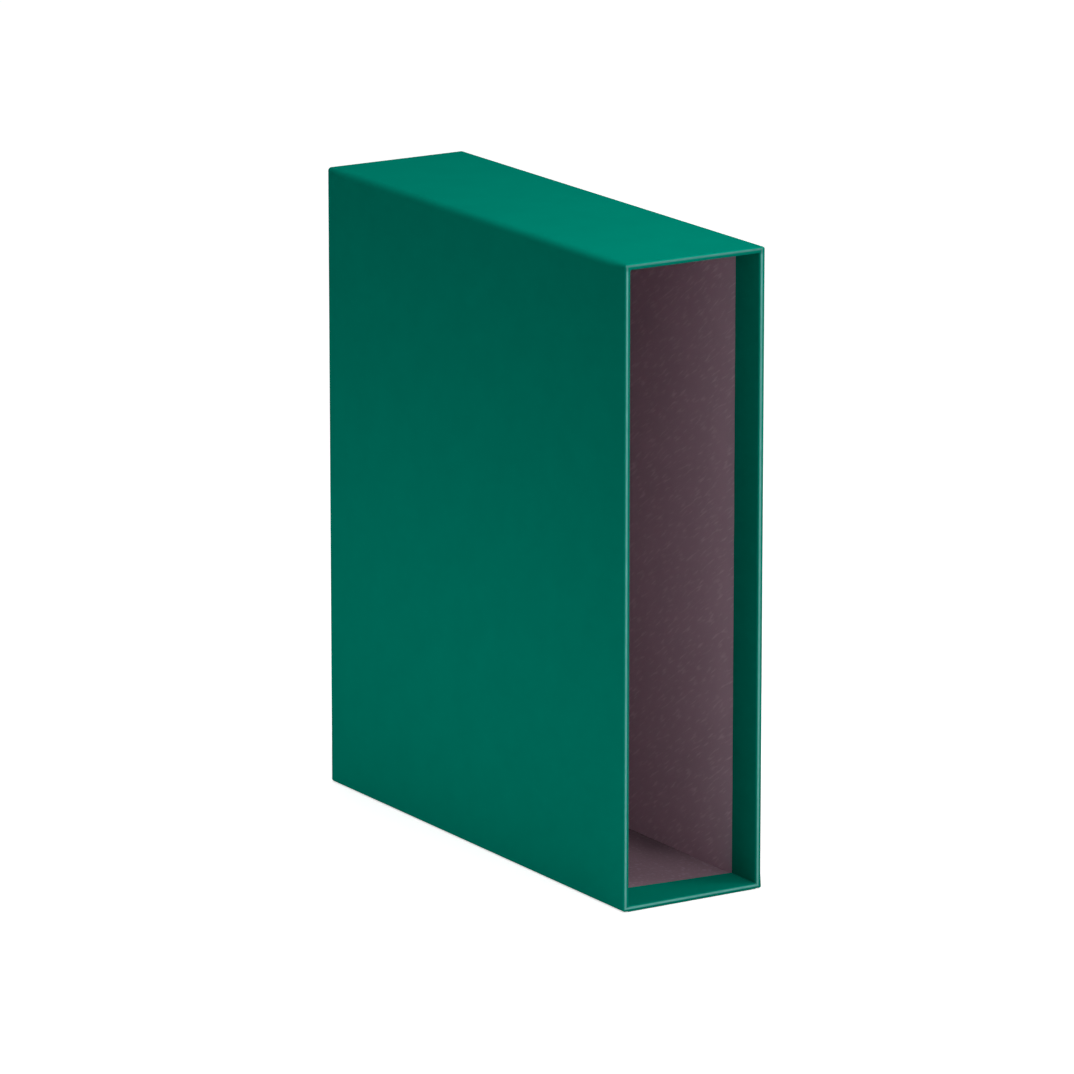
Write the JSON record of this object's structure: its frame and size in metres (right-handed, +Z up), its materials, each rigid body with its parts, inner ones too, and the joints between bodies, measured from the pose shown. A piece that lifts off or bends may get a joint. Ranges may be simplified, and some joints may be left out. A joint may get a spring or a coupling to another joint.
{
  "type": "binder slipcase",
  "caption": "Tall rigid slipcase for one A4 lever arch file: greyboard walls wrapped in green paper, open at a narrow side, with the paper turned in round the mouth.",
  "frame": {"origin": "middle of the face that the slipcase stands on", "axes": "+Z up, -Y out of the open mouth, +Y towards the closed back, +X to the right as seen from the mouth"},
  "size_m": [0.082, 0.286, 0.33],
  "materials": {
    "covering_paper": "deep green printed paper with a matt film",
    "greyboard": "bare recycled greyboard, matt",
    "stay_tape": "brown gummed kraft paper tape"
  },
  "bodies": {
    "root": {"side_top_board": "greyboard", "right_side_board": "greyboard", "bottom_board": "greyboard", "back_board": "greyboard", "stay_top_right": "stay_tape", "stay_bottom_left": "stay_tape", "stay_bottom_right": "stay_tape", "stay_back_left": "stay_tape", "stay_back_right": "stay_tape", "stay_back_top": "stay_tape", "stay_back_bottom": "stay_tape", "wrap_sheet": "covering_paper", "bottom_sheet": "covering_paper", "back_sheet": "covering_paper"}
  },
  "joints": []
}
